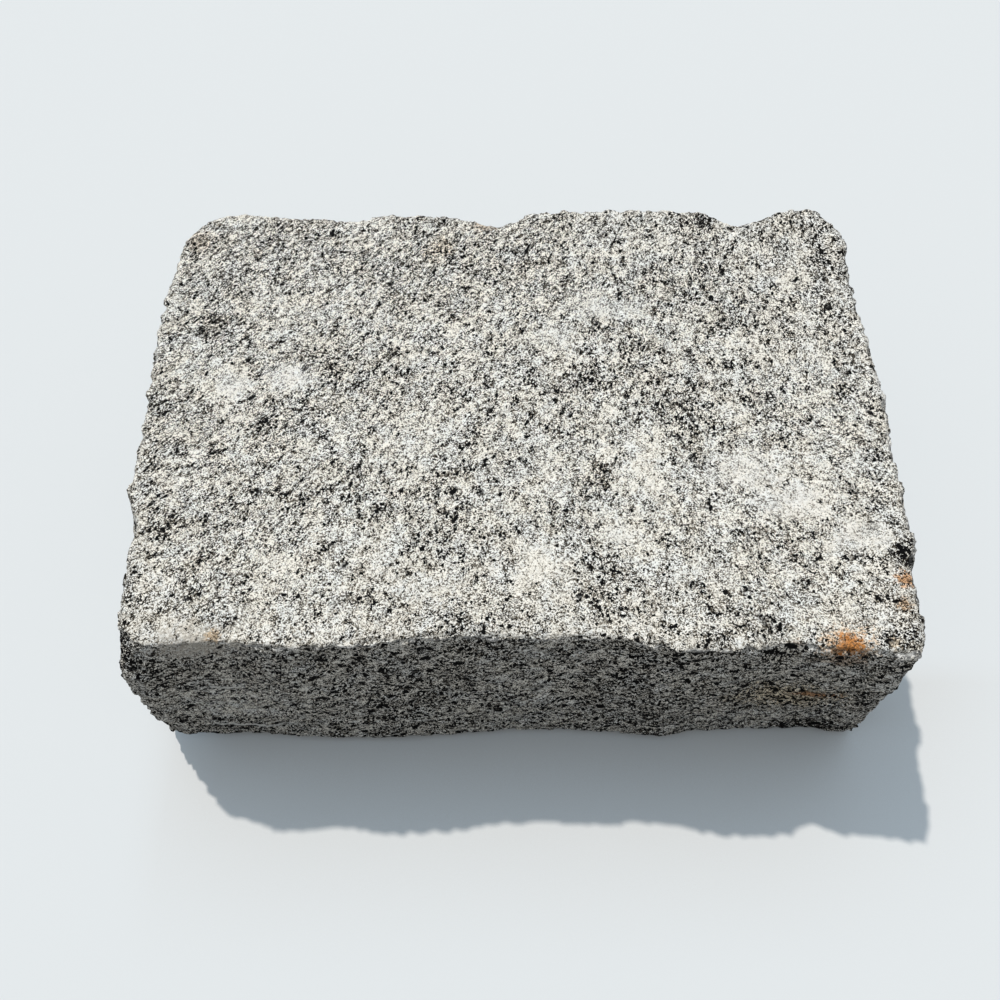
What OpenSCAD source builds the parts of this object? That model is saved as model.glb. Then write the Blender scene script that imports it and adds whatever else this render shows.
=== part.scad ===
// Granite belgian block: one hand-split stone, lying on its widest flat face.
// The origin is on the ground under the middle of the stone, +X runs along its length,
// -Y is its front face and +Z is up. All sizes are in millimetres.

/* [Block] */
// Length between the planes that the two ends stand in
block_length = 280; // [220:1:320]
// Width between the planes that the front and back faces stand in
block_width = 200; // [150:1:230]
// Thickness from the bed to the level of the top face
block_thickness = 97; // [75:1:120]

/* [Corners] */
// Front left corner: how far it is worn back at the arris, at mid height and at the foot
front_left_corner = [6, 1, 2]; // [1:1:20]
// Front right corner, worn back likewise
front_right_corner = [1, 1, 1]; // [1:1:20]
// Back right corner, worn back likewise
back_right_corner = [8, 6, 5]; // [1:1:20]
// Back left corner, worn back likewise
back_left_corner = [14, 11, 8]; // [1:1:20]

/* [Edges] */
// Radius of the wear along the top arris
arris_radius = 3; // [1:0.5:5]
// How far a chip in the arris reaches into the top and down the side
chip_reach = 14; // [8:1:20]
// Width of the broken edge between the sides and the bed
foot_width = 6; // [2:0.5:10]
// Height of that broken edge above the bed
foot_height = 5; // [3:0.5:10]

/* [Split faces] */
// Depth of the hollows that the side faces swell between
side_swell = 1.6; // [0:0.2:4]
// Depth of the hollows that the top face swells between
top_swell = 1.4; // [0:0.2:4]
// Length of a swell from crest to crest
swell_length = 62; // [40:1:120]
// Depth of the dents of the side faces, from the highest bump to the deepest dent
side_dent = 2.4; // [0:0.1:3]
// Depth of the dents of the top face
top_dent = 1.4; // [0:0.1:3]
// Distance from one dent or bump to the next
dent_spacing = 14; // [11:1:30]
// Seed of the dents: another number gives another stone
dent_seed = 11; // [1:1:99]

/* [Surface] */
// Length of a facet
facet = 7; // [6:0.5:14]

/* [Hidden] */
granite_grey = [0.69, 0.68, 0.65];

// One row for each point where a face changes course. A face is seen from outside and its
// rows run from left to right:
// [place from -1 to 1, depth behind the face's plane at the arris, at mid height and at
//  the foot, size of a chip out of the arris]
front_rows = [
    [-1.00, 5.0, 1.0, 3.5, 1.0],
    [-0.89, 4.5, 2.0, 2.0, 0.0],
    [-0.76, 5.0, 4.0, 2.0, 0.5],
    [-0.60, 2.5, 1.5, 0.5, 0.0],
    [-0.48, 4.0, 1.5, 0.0, 0.0],
    [-0.34, 5.5, 3.0, 0.0, 0.5],
    [-0.13, 7.5, 4.0, 2.0, 0.5],
    [ 0.03, 6.5, 4.5, 3.5, 0.0],
    [ 0.17, 6.5, 4.5, 3.5, 0.5],
    [ 0.32, 4.5, 2.5, 2.0, 0.0],
    [ 0.44, 2.5, 1.5, 0.5, 0.0],
    [ 0.53, 2.5, 2.5, 3.0, 0.5],
    [ 0.60, 2.5, 2.5, 3.5, 0.0],
    [ 0.69, 3.0, 3.5, 4.0, 3.5],
    [ 0.75, 3.0, 3.5, 4.0, 0.0],
    [ 0.90, 2.0, 2.0, 4.0, 0.0],
    [ 1.00, 0.0, 0.0, 3.0, 0.0]
];
right_rows = [
    [-1.00, 7.0, 3.0, 1.5, 0.0],
    [-0.76, 4.5, 2.5, 1.0, 0.0],
    [-0.67, 2.0, 2.0, 0.5, 1.5],
    [-0.59, 0.5, 1.0, 0.5, 0.0],
    [-0.47, 1.5, 0.0, 1.0, 0.0],
    [-0.20, 1.5, 0.5, 2.5, 0.0],
    [ 0.10, 1.0, 1.0, 1.5, 0.0],
    [ 0.30, 2.0, 0.5, 0.0, 0.0],
    [ 0.51, 2.5, 1.0, 0.5, 0.5],
    [ 0.70, 3.5, 2.5, 2.0, 0.0],
    [ 1.00, 5.0, 3.5, 2.5, 0.5]
];
back_rows = [
    [-1.00, 0.5, 2.0, 2.5, 0.5],
    [-0.85, 3.0, 3.0, 1.0, 1.0],
    [-0.76, 5.5, 2.5, 1.0, 2.5],
    [-0.67, 3.0, 2.5, 1.0, 0.5],
    [-0.50, 1.5, 1.0, 0.5, 0.0],
    [-0.27, 1.5, 0.5, 1.5, 0.0],
    [-0.05, 2.0, 1.5, 2.0, 0.5],
    [ 0.07, 5.0, 2.5, 1.0, 3.5],
    [ 0.16, 5.0, 2.5, 0.5, 1.0],
    [ 0.30, 4.5, 1.5, 0.0, 0.0],
    [ 0.60, 6.5, 3.0, 1.0, 0.5],
    [ 0.90, 4.0, 2.5, 2.0, 0.0],
    [ 1.00, 4.0, 3.0, 2.5, 0.5]
];
left_rows = [
    [-1.00, 5.0, 3.0, 2.0, 0.5],
    [-0.80, 4.0, 2.0, 1.0, 0.0],
    [-0.47, 3.0, 0.5, 1.5, 0.0],
    [-0.16, 3.0, 0.0, 2.0, 0.0],
    [ 0.15, 4.0, 1.0, 1.0, 0.5],
    [ 0.40, 4.0, 1.5, 0.0, 0.0],
    [ 0.50, 6.0, 1.0, 0.5, 0.5],
    [ 0.57, 8.5, 1.0, 0.5, 1.0],
    [ 0.64, 7.0, 1.5, 1.0, 0.5],
    [ 0.76, 8.0, 2.0, 1.5, 0.5],
    [ 0.87, 8.0, 2.0, 2.0, 1.0],
    [ 1.00, 8.0, 1.5, 1.0, 1.5]
];
faces = [front_rows, right_rows, back_rows, left_rows];

// The corner at the left end of each face, in the same order
corners = [front_left_corner, front_right_corner, back_right_corner, back_left_corner];

// Columns of a row
ARRIS = 1;
MIDDLE = 2;
FOOT = 3;
CHIP = 4;

// How many facets turn the arris
arris_steps = 3;
// Rings up the sides, each about one and a third facets high, and rings of the top face. A
// power over 1 crowds both towards the arris
side_rings = ceil((block_thickness - foot_height) / (4 / 3 * facet));
top_rings = ceil(block_length / 2 / facet);
side_crowding = 1.4;
top_crowding = 1.1;
// How far the rough under face lies below the bed that is split off flat
under_bulge = 1;

// Half the side that runs along face k, and half the side that face k stands off by
function half_along(k) = (k % 2 == 0 ? block_length : block_width) / 2;
function half_across(k) = (k % 2 == 0 ? block_width : block_length) / 2;

// A point given as seen from outside face k, turned into the block's plan
function turned(x, y, k) = [
    x * cos(90 * k) - y * sin(90 * k),
    x * sin(90 * k) + y * cos(90 * k)
];

// Where face k's rows start, and where they end: a worn corner short of the next face
function last_row(k) = faces[k][len(faces[k]) - 1];
function row_start(k, column) =
    corners[k][column - 1] + last_row((k + 3) % 4)[column] - half_along(k);
function row_end(k, column) =
    half_along(k) - faces[(k + 1) % 4][0][column] - corners[(k + 1) % 4][column - 1];

// Plan point and chip size of one row of face k, at the level that the column names
function row_point(row, k, column) =
    let (start = row_start(k, column),
         along = start + (row[0] + 1) / 2 * (row_end(k, column) - start),
         plan = turned(along, row[column] - half_across(k), k))
    [plan.x, plan.y, row[CHIP]];

function course(column) = [
    for (k = [0 : 3], row = faces[k]) row_point(row, k, column)
];

function plan_gap(a, b) = norm([b.x - a.x, b.y - a.y]);

// Slope of a smooth curve through three points, by the length of its two spans
function slope(before, here, after) =
    let (a = plan_gap(before, here), b = plan_gap(here, after))
    ((here - before) * b / a + (after - here) * a / b) / (a + b);

// Cubic from one point to the next with a given slope at each, at t from 0 to 1
function cubic(p, q, slope_p, slope_q, t) =
    let (span = plan_gap(p, q))
    p * (2 * t ^ 3 - 3 * t ^ 2 + 1) + q * (3 * t ^ 2 - 2 * t ^ 3)
    + slope_p * span * (t ^ 3 - 2 * t ^ 2 + t) + slope_q * span * (t ^ 3 - t ^ 2);

// Facets of each span, the same at every level so that the levels join up
arris_course = course(ARRIS);
n_spans = len(arris_course);
span_steps = [
    for (i = [0 : n_spans - 1])
        max(1, round(plan_gap(arris_course[i], arris_course[(i + 1) % n_spans]) / facet))
];

// A course made into a closed smooth ring
function ring(points) =
    let (n = n_spans,
         slopes = [for (i = [0 : n - 1])
             slope(points[(i + n - 1) % n], points[i], points[(i + 1) % n])])
    [for (i = [0 : n - 1], j = [0 : span_steps[i] - 1])
        cubic(points[i], points[(i + 1) % n], slopes[i], slopes[(i + 1) % n],
              j / span_steps[i])];

arris_ring = ring(arris_course);
middle_ring = ring(course(MIDDLE));
foot_ring = ring(course(FOOT));
n_around = len(arris_ring);

// A plan point drawn in by so many millimetres from the faces
function inset(p, depth) = [
    p.x * (1 - 2 * depth / block_length),
    p.y * (1 - 2 * depth / block_width)
];

// Hollows of a split face, from 0 to 1 deep, where u and v run along the face
wave = 360 / swell_length;
function hollow(u, v) =
    0.5 + (sin(wave * (u + 0.4 * v)) + 0.7 * sin(wave * (0.6 * u - v) + 50)
           + 0.5 * sin(wave * (1.7 * u + 1.3 * v) + 130)) / 4.4;

// Dents of a split face, from -0.5 on a bump to 0.5 in a hollow. The knots of a skewed
// lattice have random depths, drawn from a list in scattered order, and the depth between
// them is eased from knot to knot. The lattice is counted from well outside the stone
knots = rands(-0.5, 0.5, 997, dent_seed);
scatter = [73, 179, 283];
skew = [[1, 0.4, 0], [-0.4, 1, 0.3], [0.3, 0, 1]];
lattice_start = [40, 40, 40];
function knot(cell) = knots[cell * scatter % len(knots)];
function eased(t) = t * t * (3 - 2 * t);
function between(a, b, share) = a + (b - a) * share;
function dent(p) =
    let (place = skew * p / dent_spacing + lattice_start,
         cell = [for (v = place) floor(v)],
         share = [for (v = place - cell) eased(v)],
         rows = [for (k = [0, 1], j = [0, 1])
             between(knot(cell + [0, j, k]), knot(cell + [1, j, k]), share.x)])
    between(between(rows[0], rows[1], share.y), between(rows[2], rows[3], share.y), share.z);

// A point pressed in by its dent: down as far as it faces up, and otherwise inwards
function dented(p, up, share = 1) =
    let (depth = share * dent(p),
         plan = inset(p, depth * side_dent * (1 - up)))
    [plan.x, plan.y, p.z - depth * top_dent * up];

// How much of a chip is left at a distance from the arris
function chip_share(distance) = max(0, 1 - distance / chip_reach) ^ 2;

function chip(i) = max(0, arris_ring[i][2]);
function arris_level(i) = block_thickness - arris_radius - chip(i);

// Side face: a parabola from foot to arris through mid height, at t from 0 to 1
function side_point(i, t) =
    let (at_middle = 4 * t * (1 - t),
         plan = foot_ring[i] * 2 * (t - 0.5) * (t - 1) + middle_ring[i] * at_middle
             + arris_ring[i] * 2 * t * (t - 0.5),
         z = foot_height + t * (arris_level(i) - foot_height),
         depth = side_swell * at_middle * hollow(plan.x + plan.y, z)
             + chip(i) * chip_share(arris_level(i) - z),
         p = inset(plan, depth))
    dented([p.x, p.y, z], 0, 1 - (1 - t) ^ 4);

// Rounded arris, at an angle from 0 at the side to 90 at the top
function arris_point(i, angle) =
    let (p = inset(arris_ring[i], chip(i) + arris_radius * (1 - cos(angle))))
    dented([p.x, p.y, arris_level(i) + arris_radius * sin(angle)], sin(angle));

// Top face, at a share of the way in from the arris to the middle. Past the reach of the
// chips its rings follow the smoother course of mid height
function top_point(i, share) =
    let (edge = arris_point(i, 90),
         depth = norm([edge.x, edge.y]) * share,
         near_arris = chip_share(depth),
         calm = inset(middle_ring[i], 2 * arris_radius),
         p = (edge * near_arris + [calm.x, calm.y, 0] * (1 - near_arris)) * (1 - share))
    dented([p.x, p.y, block_thickness - chip(i) * near_arris
        - top_swell * (1 - near_arris) * hollow(p.x, p.y)], 1);

// Broken edge between the sides and the bed
function under_point(i, depth, z) =
    let (p = inset(foot_ring[i], depth))
    [p.x, p.y, z];

function ring_of(shape) = [for (i = [0 : n_around - 1]) shape(i)];

rings = concat(
    [ring_of(function (i) under_point(i, foot_width + under_bulge, -under_bulge)),
     ring_of(function (i) under_point(i, foot_width - under_bulge, under_bulge))],
    [for (j = [0 : side_rings - 1])
        ring_of(function (i) side_point(i, 1 - (1 - j / side_rings) ^ side_crowding))],
    [for (j = [0 : arris_steps - 1])
        ring_of(function (i) arris_point(i, 90 * j / arris_steps))],
    [for (j = [0 : top_rings - 1])
        ring_of(function (i) top_point(i, (j / top_rings) ^ top_crowding))]
);
n_rings = len(rings);

module rough_stone() {
    under_middle = n_rings * n_around;
    top_middle = under_middle + 1;
    last = (n_rings - 1) * n_around;
    points = concat(
        [for (r = rings, p = r) p],
        [[0, 0, -under_bulge], dented([0, 0, block_thickness - top_swell * hollow(0, 0)], 1)]
    );
    quads = [
        for (r = [0 : n_rings - 2], i = [0 : n_around - 1])
            let (a = r * n_around + i,
                 b = r * n_around + (i + 1) % n_around)
            each [[a, a + n_around, b + n_around], [a, b + n_around, b]]
    ];
    under = [for (i = [0 : n_around - 1]) [under_middle, i, (i + 1) % n_around]];
    top = [for (i = [0 : n_around - 1]) [top_middle, last + (i + 1) % n_around, last + i]];
    polyhedron(points, concat(quads, under, top), convexity = 4);
}

// The stone, split flat underneath so that it lies without rocking
module granite_block() {
    color(granite_grey) difference() {
        rough_stone();
        translate([-block_length, -block_width, -4 * under_bulge])
            cube([2 * block_length, 2 * block_width, 4 * under_bulge]);
    }
}

granite_block();
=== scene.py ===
"""Looks of a granite belgian block: one rough split stone lying on its flat bed.

The stone is one closed surface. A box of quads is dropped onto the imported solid, and
numpy then splits it into crystal faces, ledges and chipped arrises. Its finish is a
procedural granite: pale feldspar, grey quartz and black mica, with bruises and rust.
"""
import math
from functools import reduce
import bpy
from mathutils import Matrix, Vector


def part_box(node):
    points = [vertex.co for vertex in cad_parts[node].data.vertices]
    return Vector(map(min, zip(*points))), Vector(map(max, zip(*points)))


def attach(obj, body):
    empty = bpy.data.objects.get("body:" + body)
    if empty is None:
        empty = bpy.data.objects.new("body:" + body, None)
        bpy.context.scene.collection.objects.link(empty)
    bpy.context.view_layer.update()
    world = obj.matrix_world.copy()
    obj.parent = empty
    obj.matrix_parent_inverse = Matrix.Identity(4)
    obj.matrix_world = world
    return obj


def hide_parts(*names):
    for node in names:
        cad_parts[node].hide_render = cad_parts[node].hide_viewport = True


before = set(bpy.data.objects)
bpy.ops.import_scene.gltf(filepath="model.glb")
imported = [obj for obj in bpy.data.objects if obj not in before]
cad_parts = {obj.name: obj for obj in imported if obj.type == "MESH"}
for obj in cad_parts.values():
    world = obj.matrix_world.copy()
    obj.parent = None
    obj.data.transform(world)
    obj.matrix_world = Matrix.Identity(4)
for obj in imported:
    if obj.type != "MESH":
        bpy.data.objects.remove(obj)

from types import SimpleNamespace

import bpy
import numpy as np
from mathutils import Vector

MM = 0.001
STONE = "granite_block"

stone_low, stone_high = (np.array(corner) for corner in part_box(STONE))
stone_size = stone_high - stone_low
stone_middle = (stone_low + stone_high) / 2
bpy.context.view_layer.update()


def on_stone(along, across, up):
    """A place on the stone, in metres, from its shares of the half length, half width and height."""
    half = stone_size / 2
    return np.array([
        stone_middle[0] + along * half[0],
        stone_middle[1] + across * half[1],
        stone_low[2] + up * stone_size[2],
    ])


# ---------------------------------------------------------------- solid noise in numpy

def lattice_numbers(cells, seed):
    """A number from 0 to 1 for each whole-numbered cell: its three coordinates are
    multiplied by odd numbers, joined and scrambled, so equal cells get equal numbers."""
    x, y, z = (cells[..., axis].astype(np.uint64) for axis in range(3))
    mixed = x * np.uint64(73856093) ^ y * np.uint64(19349663) ^ z * np.uint64(83492791)
    mixed ^= np.uint64(seed) * np.uint64(2654435761)
    mixed ^= mixed >> np.uint64(31)
    mixed *= np.uint64(0x9E3779B97F4A7C15)
    mixed ^= mixed >> np.uint64(29)
    mixed *= np.uint64(0xBF58476D1CE4E5B9)
    mixed ^= mixed >> np.uint64(32)
    return (mixed >> np.uint64(11)).astype(float) / float(1 << 53)


def lattice_vectors(cells, seed):
    """A random direction for each cell: three of its numbers, from -1 to 1."""
    return np.stack([lattice_numbers(cells, seed + part) * 2 - 1 for part in range(3)], -1)


def smooth_noise(points, size, seed):
    """Gradient noise, about -1 to 1: at each lattice corner round a point, that corner's
    random direction times the way to the point, eased from corner to corner."""
    place = points / size
    cell = np.floor(place).astype(np.int64)
    inside = place - cell
    ease = inside ** 3 * (inside * (inside * 6 - 15) + 10)
    total = np.zeros(len(points))
    for corner in np.ndindex(2, 2, 2):
        corner = np.array(corner)
        push = lattice_vectors(cell + corner, seed)
        slope = (push * (inside - corner)).sum(1)
        weight = np.where(corner == 1, ease, 1 - ease).prod(1)
        total += slope * weight
    return total * 1.6


def layered_noise(points, size, seed, layers=3, fall=0.5):
    """Smooth noise at a size, a half of it, a quarter and so on, each layer weaker."""
    total = np.zeros(len(points))
    for layer in range(layers):
        total += smooth_noise(points, size / 2 ** layer, seed + 10 * layer) * fall ** layer
    return total


def crystal_faces(points, size, seed):
    """Split crystals: each point belongs to the nearest of the randomly placed grains,
    and every grain is a small plane with its own level and tilt. Returns that plane's
    height there, about -1 to 1."""
    place = points / size
    cell = np.floor(place).astype(np.int64)
    nearest = np.full(len(points), 9.0)
    height = np.zeros(len(points))
    for step in np.ndindex(3, 3, 3):
        grain = cell + np.array(step) - 1
        centre = grain + 0.5 + 0.42 * lattice_vectors(grain, seed)
        away = place - centre
        distance = np.sqrt((away ** 2).sum(1))
        level = lattice_numbers(grain, seed + 7) * 2 - 1
        tilt = lattice_vectors(grain, seed + 11)
        plane = 0.55 * level + (tilt * away).sum(1)
        closer = distance < nearest
        height = np.where(closer, plane, height)
        nearest = np.where(closer, distance, nearest)
    return height


def rise(value, low, high):
    """0 below low, 1 above high, eased between."""
    share = np.clip((value - low) / (high - low), 0, 1)
    return share * share * (3 - 2 * share)


# ---------------------------------------------------------------- the stone's grain

LAYER_SLOPE = 0.60     # how steeply the mineral layers climb along the stone, at its middle
LAYER_BEND = -0.0014   # how much that slope grows with each millimetre to the right
LAYER_CROSS = -0.27    # how steeply they climb towards the back, at the middle
LAYER_CURL = -0.0034   # how much that slope grows with each millimetre to the back
LAYER_TWIST = 0.0039   # and with each millimetre to the right
LAYER_STRETCH = 1.5    # grains are this much longer along the layers than through them


def along_layers(points):
    """Points, in millimetres, measured along the stone's bent mineral layers: x and y are
    divided by the stretch, and z is the height over the layer, whose own height is
    x * (slope + bend / 2 * x) + y * (cross + curl / 2 * y + twist * x)."""
    x, y, z = points.T
    layer = x * (LAYER_SLOPE + LAYER_BEND / 2 * x)
    layer += y * (LAYER_CROSS + LAYER_CURL / 2 * y + LAYER_TWIST * x)
    return np.stack([x / LAYER_STRETCH, y / LAYER_STRETCH, z - layer], -1)


# ---------------------------------------------------------------- the stone's surface

LENGTH_QUADS = 252
WIDTH_QUADS = 180
HEIGHT_QUADS = 60
BED_STEP = 6            # the flat bed takes every sixth grid line
TOP_ROWS_FINER = 1 / 3  # rows are this share closer at the arris, and wider at the foot
SMOOTHING_ROUNDS = (6, 4, 2)    # after each landing on the solid


def box_grid(low, high):
    """A closed box of quads. Its points are those of a three-way lattice that lie on the
    outside. The rows of the sides are height * (share * (1 + k) - k * share squared), so
    they close up towards the arris. The flat bed is coarser: its border faces take all of
    the sides' lowest points, and its inner faces every sixth grid line."""
    counts = (LENGTH_QUADS, WIDTH_QUADS, HEIGHT_QUADS)
    shape = tuple(count + 1 for count in counts)
    kept = np.zeros(shape, bool)
    kept[0], kept[-1] = True, True
    kept[:, 0], kept[:, -1] = True, True
    kept[:, :, -1] = True
    kept[::BED_STEP, ::BED_STEP, 0] = True
    ids = np.full(shape, -1)
    ids[kept] = np.arange(kept.sum())
    shares = np.argwhere(kept) / np.array(counts)
    shares[:, 2] *= 1 + TOP_ROWS_FINER - TOP_ROWS_FINER * shares[:, 2]
    points = low + shares * (high - low)

    def quads(sheet, flip):
        """The faces between neighbouring rows of ids, turned over where flip is set."""
        faces = np.stack([sheet[:-1, :-1], sheet[1:, :-1], sheet[1:, 1:], sheet[:-1, 1:]], -1)
        faces = faces.reshape(-1, 4)
        return faces[:, ::-1] if flip else faces

    sides = [
        quads(ids[:, :, -1], False),
        quads(ids[:, 0, :], False),
        quads(ids[:, -1, :], True),
        quads(ids[0, :, :], True),
        quads(ids[-1, :, :], False),
    ]
    faces = np.concatenate(sides).tolist()
    bed = ids[:, :, 0]
    for along in range(0, LENGTH_QUADS, BED_STEP):
        for across in range(0, WIDTH_QUADS, BED_STEP):
            tile = bed[along:along + BED_STEP + 1, across:across + BED_STEP + 1]
            edge = np.concatenate([tile[0, :-1], tile[:-1, -1], tile[-1, :0:-1], tile[:0:-1, 0]])
            faces.append(edge[edge >= 0].tolist())
    return points, faces


def read_points(mesh, values, name):
    """The mesh's vertex positions or normals as rows of three."""
    rows = np.empty(len(mesh.vertices) * 3, np.float32)
    values.foreach_get(name, rows)
    return rows.reshape(-1, 3).astype(float)


def drop_onto_solid(piece, solid):
    """The grid lands on the nearest place of the solid and is evened out, three times and
    ever less."""
    for rounds in SMOOTHING_ROUNDS:
        landing = piece.modifiers.new("landing", "SHRINKWRAP")
        landing.target = solid
        landing.wrap_method = "NEAREST_SURFACEPOINT"
        evening = piece.modifiers.new("evening", "SMOOTH")
        evening.iterations = rounds
        evening.factor = 0.5
    graph = bpy.context.evaluated_depsgraph_get()
    landed = piece.evaluated_get(graph).data
    points = read_points(landed, landed.vertices, "co")
    normals = read_points(landed, landed.vertex_normals, "vector")
    piece.modifiers.clear()
    return points, normals


def edge_distances(points):
    """For points on the box, how far each lies from the top arris, from the nearest upright
    corner and from the foot: the distances to the two faces that meet there, added up."""
    to_ends = np.minimum(points[:, 0] - stone_low[0], stone_high[0] - points[:, 0])
    to_faces = np.minimum(points[:, 1] - stone_low[1], stone_high[1] - points[:, 1])
    to_walls = np.minimum(to_ends, to_faces)
    arris = to_walls + (stone_high[2] - points[:, 2])
    upright = to_ends + to_faces
    foot = to_walls + (points[:, 2] - stone_low[2])
    return arris, upright, foot


def steps(place, sharpness=4.0):
    """A staircase's overhang: climbs from 0 to 1 over each whole number, then drops back."""
    share = place - np.floor(place)
    return share * (1 - share ** sharpness)


# How large the forms of the relief are along the surface, in millimetres
WAVES = 11
TALL_LEDGES = 11
LOW_LEDGES = 5
LEDGE_WANDER = 21
COARSE_CRYSTALS = 3.4
FINE_CRYSTALS = 1.9
SCOOPS = 7.5
NOTCHES = 4.2
WEAR_CHANGES = 15
EDGE_WEAR = 4.5         # how far the wear reaches in from an edge, on the whole
LEAST_WEAR = 1.5


def layer_ledges(layers):
    """Low ledges where the mineral layers broke: two staircases over the height across the
    layers, which wander along them."""
    height = layers[:, 2]
    wander = layered_noise(layers, LEDGE_WANDER, seed=41, layers=3)
    return steps(height / TALL_LEDGES + 1.6 * wander) + 0.6 * steps(height / LOW_LEDGES - 1.3 * wander)


def edge_chips(points, edges, ledges):
    """How much is broken out of the edges, in millimetres: scoops where the arris, the foot
    and the corners are worn, more on the corners' ledges, and small notches at the brink."""
    arris, upright, foot = edges
    uneven = layered_noise(points, WEAR_CHANGES, seed=151, layers=2)
    reach = np.maximum(EDGE_WEAR + 3 * uneven, LEAST_WEAR)
    worn = 1 - rise(np.minimum(arris, foot * 2) / reach, 0.1, 1.0)
    corner = 1 - rise(upright / (2.2 * reach), 0.1, 1.0)
    brink = 1 - rise(np.minimum(arris, upright), 0.8, 5.0)
    scoops = np.clip(0.2 + 1.2 * crystal_faces(points, SCOOPS, seed=131), -0.4, 2.2)
    notches = np.clip(1.4 * crystal_faces(points, NOTCHES, seed=137), -0.5, 1.5)
    return np.maximum(worn, 0.7 * corner) * scoops + 1.4 * corner * (ledges - 0.45) + brink * notches


def split_relief(points, edges, wall):
    """How far the surface stands out from the solid, in millimetres: small uneven waves
    between the solid's own dents, ledges, and crystal faces at two sizes, less the chips
    along the edges. The walls are rougher than the top."""
    layers = along_layers(points)
    ledges = layer_ledges(layers)
    relief = 0.35 * layered_noise(points, WAVES, seed=3, layers=3)
    relief += (0.45 + 0.35 * wall) * (ledges - 0.6)
    relief += (0.27 + 0.08 * wall) * crystal_faces(layers, COARSE_CRYSTALS, seed=71)
    relief += (0.23 + 0.04 * wall) * crystal_faces(layers, FINE_CRYSTALS, seed=97)
    return relief - edge_chips(points, edges, ledges)


def edge_crush_and_highlight(points, edges):
    """0 to 1 along the top arris, where it is whitened: partly grains that the split broke white,
    partly a painted highlight where the arris catches the light. The nearness to the arris times a
    broken noise."""
    near = 1 - rise(edges[0] + 1.6 * smooth_noise(points, 2.2, seed=211), 0.3, 3.2)
    return near * rise(layered_noise(points, 8, seed=223, layers=4), -0.25, 0.25)


def stone_surface(solid):
    """The stone: the box of quads on the solid, with its relief along the normals. It
    stays on the bed."""
    points, faces = box_grid(stone_low, stone_high)
    edges = [distance / MM for distance in edge_distances(points)]
    mesh = bpy.data.meshes.new("granite_block_surface")
    mesh.from_pydata(points, [], faces)
    mesh.shade_smooth()
    piece = bpy.data.objects.new("granite_block_surface", mesh)
    bpy.context.scene.collection.objects.link(piece)
    points, normals = drop_onto_solid(piece, solid)
    # the whitening along the top arris: partly grains broken white by the split, partly a painted
    # highlight
    crushed = edge_crush_and_highlight(points / MM, edges)
    wall = 1 - rise(normals[:, 2], 0.35, 0.8)
    relief = split_relief(points / MM, edges, wall) * MM
    above_bed = rise((points[:, 2] - stone_low[2]) / MM, 0.2, 3.0)
    points += normals * (relief * above_bed)[:, None]
    points[:, 2] = np.maximum(points[:, 2], stone_low[2])
    mesh.vertices.foreach_set("co", points.astype(np.float32).ravel())
    for name, values in (("crushed", crushed), ("wall", wall)):
        mesh.attributes.new(name, "FLOAT", "POINT").data.foreach_set("value", values.astype(np.float32))
    mesh.update()
    return piece


# ---------------------------------------------------------------- shader values

class Value:
    """What one socket of a material gives. Sums, differences, products and quotients of
    values add the Math nodes that work them out."""

    def __init__(self, finish, socket):
        self.finish = finish
        self.socket = socket

    def math(self, operation, first, second):
        return self.finish.node("ShaderNodeMath", {"operation": operation}, {0: first, 1: second})

    def __add__(self, other):
        return self.math("ADD", self, other)

    def __sub__(self, other):
        return self.math("SUBTRACT", self, other)

    def __rsub__(self, other):
        return self.math("SUBTRACT", other, self)

    def __mul__(self, other):
        return self.math("MULTIPLY", self, other)

    def __truediv__(self, other):
        return self.math("DIVIDE", self, other)

    __radd__ = __add__
    __rmul__ = __mul__

    def rise(self, low, high):
        """0 below low, 1 above high, eased between."""
        return self.finish.node(
            "ShaderNodeMapRange",
            {"interpolation_type": "SMOOTHSTEP"},
            {"Value": self, "From Min": low, "From Max": high},
        )

    def most(self, other):
        """The larger of two values."""
        return self.math("MAXIMUM", self, other)


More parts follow.
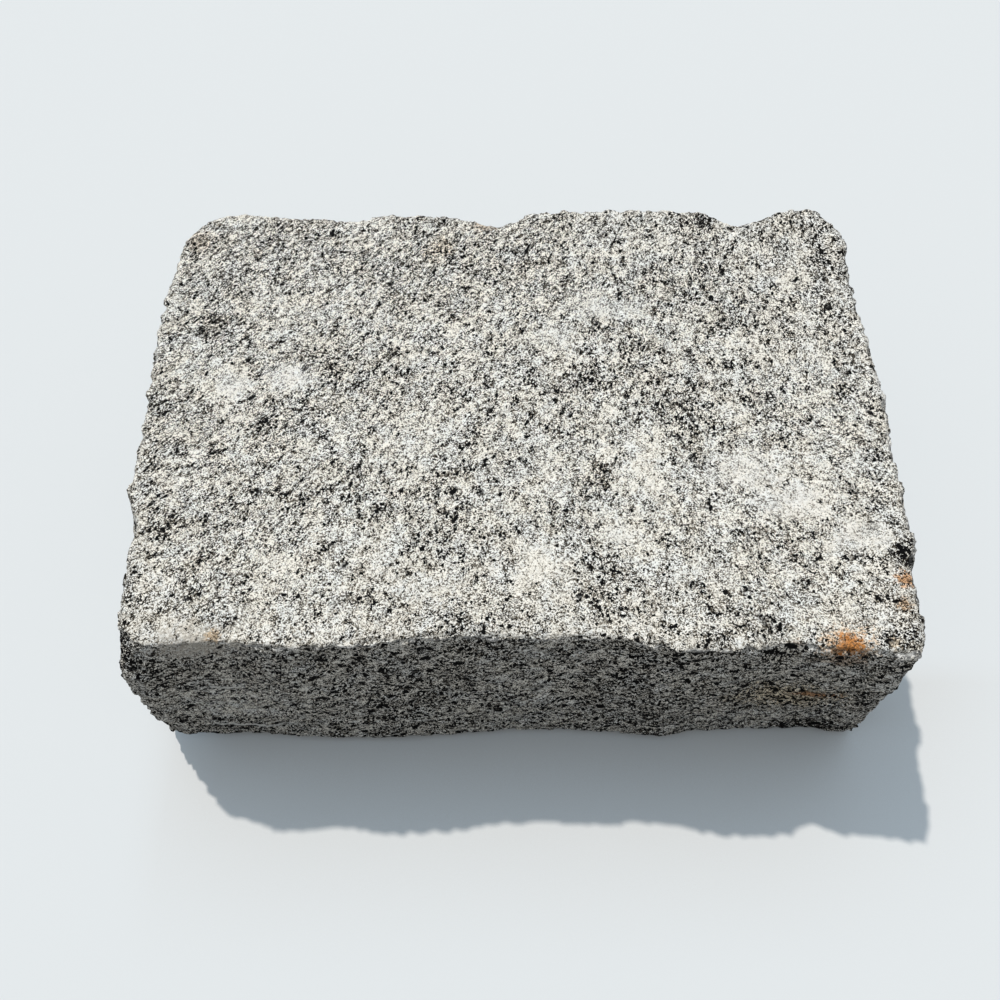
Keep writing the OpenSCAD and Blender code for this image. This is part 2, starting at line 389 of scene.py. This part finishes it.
class Finish:
    """The nodes of a material or of the world."""

    def __init__(self, owner):
        owner.use_nodes = True
        self.owner = owner
        self.tree = owner.node_tree
        self.tree.nodes.clear()

    def node(self, kind, settings=None, inputs=None, output=0):
        """Adds a node: its settings first, then the value or link of each input. Gives the
        value of that output, if the node has one."""
        made = self.tree.nodes.new(kind)
        for name, setting in (settings or {}).items():
            if name == "stops":
                self.set_stops(made.color_ramp, setting)
            else:
                setattr(made, name, setting)
        for name, value in (inputs or {}).items():
            socket = self.find(made.inputs, name)
            if isinstance(value, Value):
                self.tree.links.new(value.socket, socket)
            else:
                socket.default_value = value
        if output is not None:
            return Value(self, self.find(made.outputs, output))

    @staticmethod
    def find(sockets, name):
        """The socket with that number, or the one in use with that name."""
        if isinstance(name, int):
            return sockets[name]
        return next(socket for socket in sockets if socket.enabled and socket.name == name)

    @staticmethod
    def set_stops(ramp, stops):
        """A ramp's stops, from (place, colour) pairs."""
        while len(ramp.elements) < len(stops):
            ramp.elements.new(1.0)
        for element, (place, colour) in zip(ramp.elements, stops):
            element.position = place
            element.color = (*colour, 1.0)

    def show(self, surface, end="ShaderNodeOutputMaterial"):
        """Makes a shader what is seen."""
        self.node(end, {}, {"Surface": surface}, None)

    def vector(self, operation, first, second):
        """Vector Math on two vectors."""
        return self.node("ShaderNodeVectorMath", {"operation": operation}, {0: first, 1: second})

    def vector_length(self, vector):
        """How long a vector is."""
        return self.node("ShaderNodeVectorMath", {"operation": "LENGTH"}, {0: vector}, "Value")

    def split(self, kind, name, joined):
        """The parts of a colour or a vector."""
        parts = self.node(kind, {}, {name: joined})
        return [Value(self, socket) for socket in parts.socket.node.outputs]

    def attribute(self, name):
        """A value that the mesh carries at its points."""
        return self.node("ShaderNodeAttribute", {"attribute_name": name}, {}, "Fac")

    def ramp(self, value, stops):
        """A colour ramp over a value from 0 to 1."""
        return self.node("ShaderNodeValToRGB", {"stops": stops}, {"Fac": value})

    def mix(self, mask, under, over, blend="MIX"):
        """One colour laid over another where the mask is 1."""
        colours = {"A": self.rgba(under), "B": self.rgba(over)}
        settings = {"data_type": "RGBA", "blend_type": blend}
        return self.node("ShaderNodeMix", settings, {"Factor": mask, **colours}, "Result")

    @staticmethod
    def rgba(colour):
        return colour if isinstance(colour, Value) else (*colour, 1.0)

    def noise(self, place, size, detail, roughness, output="Fac"):
        """Cloudy noise, 0 to 1, with lumps of that size in millimetres."""
        inputs = {"Vector": place, "Scale": 1 / size, "Detail": detail, "Roughness": roughness}
        return self.node("ShaderNodeTexNoise", {}, inputs, output)

    def grains(self, place, size):
        """Packed grains of that size in millimetres: three random numbers for each grain."""
        inputs = {"Vector": place, "Scale": 1 / size, "Randomness": 1.0}
        colour = self.node("ShaderNodeTexVoronoi", {"feature": "F1"}, inputs, "Color")
        return self.split("ShaderNodeSeparateColor", "Color", colour)


# ---------------------------------------------------------------- granite

# How large the grains are, and the cloudy changes over them, in millimetres
CRYSTAL = 1.8
BEAD = 1.0
FLAKE = 0.96
GRAIN = 0.60
SPECK = 0.36
CLUSTER = 3.4
CREAM = 9.0
PATCH = 30.0
ROUGH = 1.8

FRONT_DEPTH = -95.0     # where the front wall lies across, in millimetres
BUMP_DEPTH = 0.8 * MM

MICA = (0.005, 0.005, 0.005)
# white for the top arris: partly grains broken white, partly a painted highlight where the edge catches
# the light
CRUSH_AND_HIGHLIGHT_WHITE = (0.95, 0.94, 0.90)
# painted highlight on the crests of the ridge lines on the shaded front
RIDGE_HIGHLIGHT = (0.86, 0.85, 0.80)
COOL_HUE = (0.965, 0.98, 0.985)
WARM_HUE = (1.0, 0.966, 0.905)

# The ground's colour from dark quartz to white feldspar: tone, colour
GROUND = [
    (0.05, (0.048, 0.040, 0.030)),
    (0.24, (0.222, 0.200, 0.163)),
    (0.40, (0.540, 0.520, 0.472)),
    (0.54, (0.815, 0.80, 0.748)),
    (0.74, (0.97, 0.962, 0.920)),
]

# Spots lie at shares of the half length, half width and height, and reach so many
# millimetres along, across and up.

# Where powder or a crust hides the grains: place, reach, colour, strength
BRUISES = [
    ((0.11, 0.30, 1), (8, 8, 9), (0.80, 0.795, 0.75), 0.55),
    ((0.22, 0.47, 1), (10, 9, 9), (0.78, 0.78, 0.75), 0.65),
    ((0.32, 0.45, 1), (8, 7, 9), (0.78, 0.78, 0.75), 0.60),
    ((-0.75, 0.08, 1), (8, 7, 9), (0.84, 0.85, 0.85), 0.70),
    ((-0.60, 0.12, 1), (10, 7, 9), (0.88, 0.88, 0.87), 0.90),
    ((0.59, -0.28, 1), (16, 9, 9), (0.82, 0.785, 0.73), 0.80),
    ((0.70, -0.41, 1), (15, 9, 9), (0.82, 0.78, 0.72), 0.75),
    ((0.85, -0.54, 1), (13, 7, 9), (0.84, 0.82, 0.77), 0.70),
    ((0.26, -0.54, 1), (8, 5, 9), (0.86, 0.85, 0.80), 0.75),
    ((-0.765, -0.93, 0.955), (15, 8, 10), (0.42, 0.375, 0.31), 1.50),
    ((0.775, -0.955, 1.00), (8, 6, 6), (0.43, 0.39, 0.35), 0.75),
]

# Where the stone is paler or has more mica, and one spot of painted shade: place, reach, how much paler
SHADES = [
    ((0.33, -0.28, 1), (10, 24, 12), 0.16),
    ((0.08, -0.66, 1), (10, 12, 12), 0.16),
    ((-0.20, -0.75, 1), (16, 9, 12), 0.12),
    ((0.21, 0.11, 1), (11, 6, 12), -0.12),
    ((0.21, -0.32, 1), (7, 11, 12), -0.11),
    ((0.47, -0.02, 1), (6, 15, 12), -0.09),
    ((-0.64, -0.11, 1), (9, 6, 12), -0.10),
    ((-0.92, -0.28, 1), (8, 14, 12), -0.09),
    ((-0.83, 0.35, 1), (9, 9, 12), -0.09),
    ((-0.86, -0.52, 1), (7, 7, 12), -0.11),
    ((0.57, 0.92, 1), (5, 6, 8), -0.22),
    ((0.95, -0.62, 0.97), (4, 4, 6), -0.30),
    # painted shade on the facet at the front-left corner
    ((-0.97, -0.95, 0.88), (9, 9, 9), -0.25),
    ((-0.75, -0.95, 0.32), (18, 9, 9), 0.14),
    ((0.85, -0.95, 0.10), (22, 9, 9), -0.17),
]

# Rust, brown and cream stains, which tint the grains: place, reach, tint, strength
STAINS = [
    ((0.775, -0.955, 0.99), (10, 8, 7), (0.95, 0.68, 0.45), 0.80),
    ((0.775, -0.955, 1.00), (6, 5, 5), (0.88, 0.50, 0.22), 1.00),
    ((0.78, -0.97, 0.90), (10, 8, 6), (0.62, 0.42, 0.28), 0.60),
    ((0.94, -0.71, 0.99), (4, 4, 5), (0.78, 0.42, 0.20), 0.90),
    ((0.92, -0.80, 0.99), (3, 3, 4), (0.66, 0.44, 0.26), 0.80),
    ((0.65, -0.95, 0.98), (4, 3, 3), (0.62, 0.36, 0.22), 0.70),
    ((0.88, -0.94, 0.99), (3, 3, 4), (0.95, 0.72, 0.46), 0.60),
    ((-0.70, -0.92, 0.99), (3, 3, 4), (0.95, 0.72, 0.48), 0.70),
    ((-0.08, 0.90, 0.98), (5, 4, 5), (0.70, 0.52, 0.36), 0.60),
    ((-0.21, 0.76, 1), (8, 8, 6), (0.97, 0.86, 0.74), 0.50),
    ((-0.92, 0.81, 1), (8, 8, 6), (0.93, 0.82, 0.72), 0.50),
    ((0.78, -0.95, 0.51), (10, 9, 2.5), (0.55, 0.32, 0.20), 0.90),
    ((0.72, -0.95, 0.48), (24, 9, 14), (1.00, 0.90, 0.74), 0.90),
]

# Thin ridge lines low on the front face, raised by the bump and painted pale as a painted highlight on
# their crests: lowest place, radius of the bend, reach
RIDGES = [
    ((-0.735, -0.95, 0.545), 7.0, (9, 12, 10)),
    ((-0.722, -0.97, 0.148), 27.0, (21, 12, 14)),
]


def layered_place(stone, place, thickness=1.0):
    """The shader's own form of along_layers, with grains so much thicker."""
    x, y, z = stone.split("ShaderNodeSeparateXYZ", "Vector", place)
    layer = x * (LAYER_SLOPE + LAYER_BEND / 2 * x)
    layer = layer + y * (LAYER_CROSS + LAYER_CURL / 2 * y + LAYER_TWIST * x)
    inputs = {"X": x / LAYER_STRETCH, "Y": y / LAYER_STRETCH, "Z": (z - layer) / thickness}
    return stone.node("ShaderNodeCombineXYZ", {}, inputs)


def rock_pattern(stone):
    """What changes over the stone at random: its packed grains, three numbers for each, and
    the cloudy changes over them. Depth is how far across a place lies, in millimetres, but
    every wall counts as lying where the front one does."""
    metres = stone.node("ShaderNodeTexCoord", output="Object")
    place = stone.vector("MULTIPLY", metres, (1000.0, 1000.0, 1000.0))
    wall = stone.attribute("wall")

    # grain edges wander by a few tenths of a millimetre
    wander = stone.vector("SUBTRACT", stone.noise(place, 0.8, 2.0, 0.6, "Color"), (0.5, 0.5, 0.5))
    jagged = stone.vector("ADD", place, stone.vector("MULTIPLY", wander, (0.45, 0.45, 0.45)))
    # the grains' shape changes at once from top to wall, so that none is drawn out between
    side = wall.rise(0.499, 0.501)
    layered = layered_place(stone, jagged, 0.75 + 0.25 * side)
    tall = layered_place(stone, jagged, 0.75 + 0.85 * side)

    across = stone.split("ShaderNodeSeparateXYZ", "Vector", place)[1]
    grain = stone.grains(tall, GRAIN)
    ragged = 1.5 * (stone.noise(place, 6.0, 4.0, 0.7) - 0.5) + 0.7 * (grain[2] - 0.5)
    return SimpleNamespace(
        place=place,
        jagged=jagged,
        ragged=ragged,
        wall=wall,
        depth=(1.0 - wall) * across + FRONT_DEPTH * wall,
        crystal=stone.grains(layered, CRYSTAL),
        flake=stone.grains(tall, FLAKE),
        grain=grain,
        bead=stone.grains(jagged, BEAD),
        speck=stone.grains(jagged, SPECK),
        cluster=stone.noise(layered, CLUSTER, 3.0, 0.6),
        patch=stone.noise(place, PATCH, 2.0, 0.5),
        cream=stone.noise(place, CREAM, 3.0, 0.6),
        rough=stone.noise(place, ROUGH, 2.0, 0.6),
    )


def spot(stone, rock, where, reach):
    """1 at the middle of a spot and 0 outside it, with a ragged edge: the way from its
    centre is divided by its reach, and noise is added to the length that is left."""
    centre = tuple(on_stone(*where) / MM)
    shares = stone.vector("DIVIDE", stone.vector("SUBTRACT", rock.place, centre), reach)
    length = stone.vector_length(shares)
    return (1.1 - length + rock.ragged).rise(0.0, 0.7)


def ridge(stone, rock, where, radius, reach):
    """1 on a thin arc that bends up from its lowest place on the front face, and 0 off it:
    the length to the arc's centre is compared with its radius."""
    lowest = on_stone(*where) / MM
    centre = (lowest[0], lowest[1], lowest[2] + radius)
    flat = stone.vector("MULTIPLY", stone.vector("SUBTRACT", rock.jagged, centre), (1.0, 0.0, 1.0))
    length = stone.vector_length(flat)
    off = (length - radius).most(radius - length)
    return (1.0 - off.rise(0.4, 1.3)) * spot(stone, rock, where, reach)


def feldspar(stone, rock, shade, bruised):
    """The ground's colour. Every grain has a tone of its own. The grains stand out less where the
    feldspar is creamy, and on the top more towards the back. On the walls they stand out more, as
    painted shade and highlight for the walls' relief, and the ground is lighter and warmer, as painted
    light that brightens the walls and offsets the blue sky that lights them."""
    tone = 0.20 * (rock.crystal[0] - 0.5) + (0.45 + 0.0035 * rock.depth) * (rock.bead[0] - 0.5)
    tone = tone + 0.46 * (rock.grain[0] - 0.5) + 1.12 * (rock.speck[0] - 0.5)
    tone = (1.75 - 1.5 * rock.cream) * tone + 0.87 * shade + 0.30 * (rock.rough - 0.5)
    # on the walls the grains stand out more: painted shade and highlight for the walls' relief
    tone = (1.22 + 0.80 * rock.wall + 0.0030 * rock.depth) * tone + 0.18 * bruised
    # the walls' ground is lighter: painted light that brightens them
    tone = tone + 0.535 + 0.055 * rock.wall + 0.0006 * rock.depth
    # the walls are warmer: a painted offset for the blue sky that lights them
    warmth = 0.58 + 0.1 * rock.wall + 2.4 * (rock.cream - 0.5)
    warmth = warmth + 0.4 * (rock.crystal[1] - 0.5) + 0.5 * (rock.speck[2] - 0.5)
    hue = stone.mix(warmth.rise(0.0, 1.0), COOL_HUE, WARM_HUE)
    return stone.mix(1.0, stone.ramp(tone, GROUND), hue, "MULTIPLY")


def mica(rock, shade, bruised):
    """1 on mica: a grain of each size is mica where its number lies under its size's share,
    which grows on the walls, towards the back and where the stone is darker."""
    rich = 0.115 * rock.wall + 0.0002 * rock.depth - 0.006 - shade - 0.2 * bruised
    under = [
        0.026 + 0.5 * rich - rock.flake[0],
        0.086 + 1.1 * rich - rock.grain[1],
        0.112 + 0.9 * rich - rock.speck[1],
        0.012 + 0.15 * rich - rock.crystal[1],
        0.052 + 0.8 * rich + 0.0002 * rock.depth - rock.bead[1],
    ]
    return reduce(Value.most, under).rise(-0.01, 0.02)


def granite_finish():
    """Speckled grey granite, split rough: feldspar and quartz share the ground, and mica flakes lie in
    it. Bruises, shades (one of them painted shade), ridge lines with a painted highlight, a whitening
    of the top arris that is partly painted highlight, and stains lie over the whole."""
    stone = Finish(bpy.data.materials.new("granite"))
    rock = rock_pattern(stone)
    shade = 0.76 * (rock.cluster - 0.5) + 0.22 * (rock.patch - 0.5)
    shade = shade + sum(paler * spot(stone, rock, where, reach) for where, reach, paler in SHADES)
    bruises = [
        (pale, strength * spot(stone, rock, where, reach))
        for where, reach, pale, strength in BRUISES
    ]
    bruised = sum(mask for pale, mask in bruises)
    ridge_bumps_and_highlights = sum(ridge(stone, rock, where, radius, reach) for where, radius, reach in RIDGES)

    colour = stone.mix(mica(rock, shade, bruised), feldspar(stone, rock, shade, bruised), MICA)
    powder = (0.16 + 0.75 * rock.grain[0] + 0.9 * (rock.rough - 0.5)).rise(0.05, 0.95)
    for pale, mask in bruises:
        colour = stone.mix(mask * (0.10 + 0.45 * powder), colour, pale)
    # the top arris is whitened: partly grains broken white by the split, partly a painted highlight
    crushed = stone.attribute("crushed")
    colour = stone.mix(crushed * (0.2 + 0.75 * powder), colour, CRUSH_AND_HIGHLIGHT_WHITE)
    # painted highlight: the ridge lines on the shaded front face are painted pale
    colour = stone.mix(0.85 * ridge_bumps_and_highlights, colour, RIDGE_HIGHLIGHT)
    soaked = (0.45 + 0.6 * rock.speck[0] + 0.8 * (rock.rough - 0.5)).rise(0.0, 0.8)
    for where, reach, tint, strength in STAINS:
        mask = strength * spot(stone, rock, where, reach)
        colour = stone.mix(mask * soaked, colour, tint, "MULTIPLY")

    height = 0.40 * rock.bead[2] + 0.12 * rock.grain[2] + 1.4 * rock.rough + 0.5 * ridge_bumps_and_highlights
    bump = stone.node("ShaderNodeBump", {}, {"Strength": 1.0, "Distance": BUMP_DEPTH, "Height": height})
    surface = stone.node("ShaderNodeBsdfPrincipled", {}, {
        "Base Color": colour,
        "Roughness": 0.62 + 0.25 * rock.grain[0],
        "Normal": bump,
        "Specular IOR Level": 0.06,
    })
    stone.show(surface)
    return stone.owner


# ---------------------------------------------------------------- floor, lights, camera

FLOOR_COLOUR = (0.565, 0.535, 0.491)
FLOOR_BOUNCE = (0.26, 0.26, 0.26)
SHADOW_LIFT = (0.165, 0.228, 0.285)
OPEN_WITHIN = 90 * MM   # in front of the stone, the lift starts to fade this near it
FRONT_BAND = (-100 * MM, -60 * MM)      # across: the fading ends between these
LEFT_BAND = (105 * MM, 155 * MM)        # and between these to the left of the middle
FLOOR_REACH = 3.0


def pale_floor():
    """A wide flat floor at the stone's bed. It sends back less light than its pale colour
    would. What the camera sees also glows faintly blue, so that the shadow isn't too deep,
    and in front of the stone that glow fades towards it, which darkens the shadow there."""
    low, high = -FLOOR_REACH, FLOOR_REACH
    corners = [(low, low, 0), (high, low, 0), (high, high, 0), (low, high, 0)]
    mesh = bpy.data.meshes.new("floor")
    mesh.from_pydata(corners, [], [(0, 1, 2, 3)])
    floor = bpy.data.objects.new("floor", mesh)
    bpy.context.scene.collection.objects.link(floor)
    paint = Finish(bpy.data.materials.new("floor_paint"))
    seen = paint.node("ShaderNodeLightPath", output="Is Camera Ray")
    bounced = paint.node("ShaderNodeBsdfDiffuse", {}, {"Color": (*FLOOR_BOUNCE, 1.0)})
    painted = paint.node("ShaderNodeBsdfDiffuse", {}, {"Color": (*FLOOR_COLOUR, 1.0)})
    lifted = paint.node("ShaderNodeEmission", {}, {"Color": (*SHADOW_LIFT, 1.0), "Strength": 1.0})
    unlifted = paint.node("ShaderNodeEmission", {}, {"Strength": 0.0})
    open_share = paint.node(
        "ShaderNodeAmbientOcclusion", {"samples": 4}, {"Distance": OPEN_WITHIN}, "AO"
    )
    metres = paint.node("ShaderNodeTexCoord", output="Object")
    along, across = paint.split("ShaderNodeSeparateXYZ", "Vector", metres)[:2]
    elsewhere = (0.0 - along).rise(*LEFT_BAND).most(across.rise(*FRONT_BAND))
    lift = open_share.rise(0.35, 1.0).most(elsewhere)
    glow = paint.node("ShaderNodeMixShader", {}, {0: lift, 1: unlifted, 2: lifted})
    pale = paint.node("ShaderNodeAddShader", {}, {0: painted, 1: glow})
    surface = paint.node("ShaderNodeMixShader", {}, {0: seen, 1: bounced, 2: pale})
    paint.show(surface)
    mesh.materials.append(paint.owner)


KEY_TRAVEL = (0.30, -0.42, -1.0)
KEY_STRENGTH = 2.70
KEY_SPREAD = 1.5
FILL_TRAVEL = (-0.12, 0.50, -1.0)
FILL_STRENGTH = 0.14
FILL_SPREAD = 30.0
SKY_COLOUR = (0.93, 0.99, 1.05)
SKY_STRENGTH = 0.32
BACKDROP = (0.74, 0.78, 0.80)


def sun(name, travel, strength, spread):
    """A lamp so far away that its light is parallel, apart from its spread in degrees."""
    lamp = bpy.data.lights.new(name, "SUN")
    lamp.energy = strength
    lamp.angle = math.radians(spread)
    placed = bpy.data.objects.new(name, lamp)
    placed.rotation_mode = "QUATERNION"
    placed.rotation_quaternion = Vector(travel).to_track_quat("-Z", "Y")
    bpy.context.scene.collection.objects.link(placed)


def lights():
    """A high key light from behind on the left, a broad soft fill from above the front,
    and an even, faintly blue sky that the camera sees as a pale backdrop."""
    sun("key", KEY_TRAVEL, KEY_STRENGTH, KEY_SPREAD)
    sun("fill", FILL_TRAVEL, FILL_STRENGTH, FILL_SPREAD)
    around = Finish(bpy.data.worlds.new("sky"))
    seen = around.node("ShaderNodeLightPath", output="Is Camera Ray")
    sky_look = {"Color": (*SKY_COLOUR, 1.0), "Strength": SKY_STRENGTH}
    sky = around.node("ShaderNodeBackground", {}, sky_look)
    backdrop = around.node("ShaderNodeBackground", {}, {"Color": (*BACKDROP, 1.0), "Strength": 1.0})
    surface = around.node("ShaderNodeMixShader", {}, {0: seen, 1: sky, 2: backdrop})
    around.show(surface, "ShaderNodeOutputWorld")
    bpy.context.scene.world = around.owner


CAMERA_SIDE = -4.8 * MM         # from the stone's middle
CAMERA_IN_FRONT = 112.0 * MM    # from its front face
CAMERA_ABOVE = 305.6 * MM       # from its top
CAMERA_TILT = math.radians(29.2)
CAMERA_LENS = 36.0              # as long as the sensor is wide


def camera():
    """A wide lens close above the stone's front edge, tilted forward."""
    lens = bpy.data.cameras.new("camera")
    lens.lens = CAMERA_LENS
    lens.sensor_width = CAMERA_LENS
    lens.clip_start = 0.01
    eye = bpy.data.objects.new("camera", lens)
    eye.location = (
        stone_middle[0] + CAMERA_SIDE,
        stone_low[1] - CAMERA_IN_FRONT,
        stone_high[2] + CAMERA_ABOVE,
    )
    eye.rotation_euler = (CAMERA_TILT, 0.0, 0.0)
    bpy.context.scene.collection.objects.link(eye)
    bpy.context.scene.camera = eye


camera()
lights()
pale_floor()
block = stone_surface(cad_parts[STONE])
block.data.materials.append(granite_finish())
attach(block, "root")
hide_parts(STONE)

bpy.context.scene.view_settings.view_transform = "Standard"
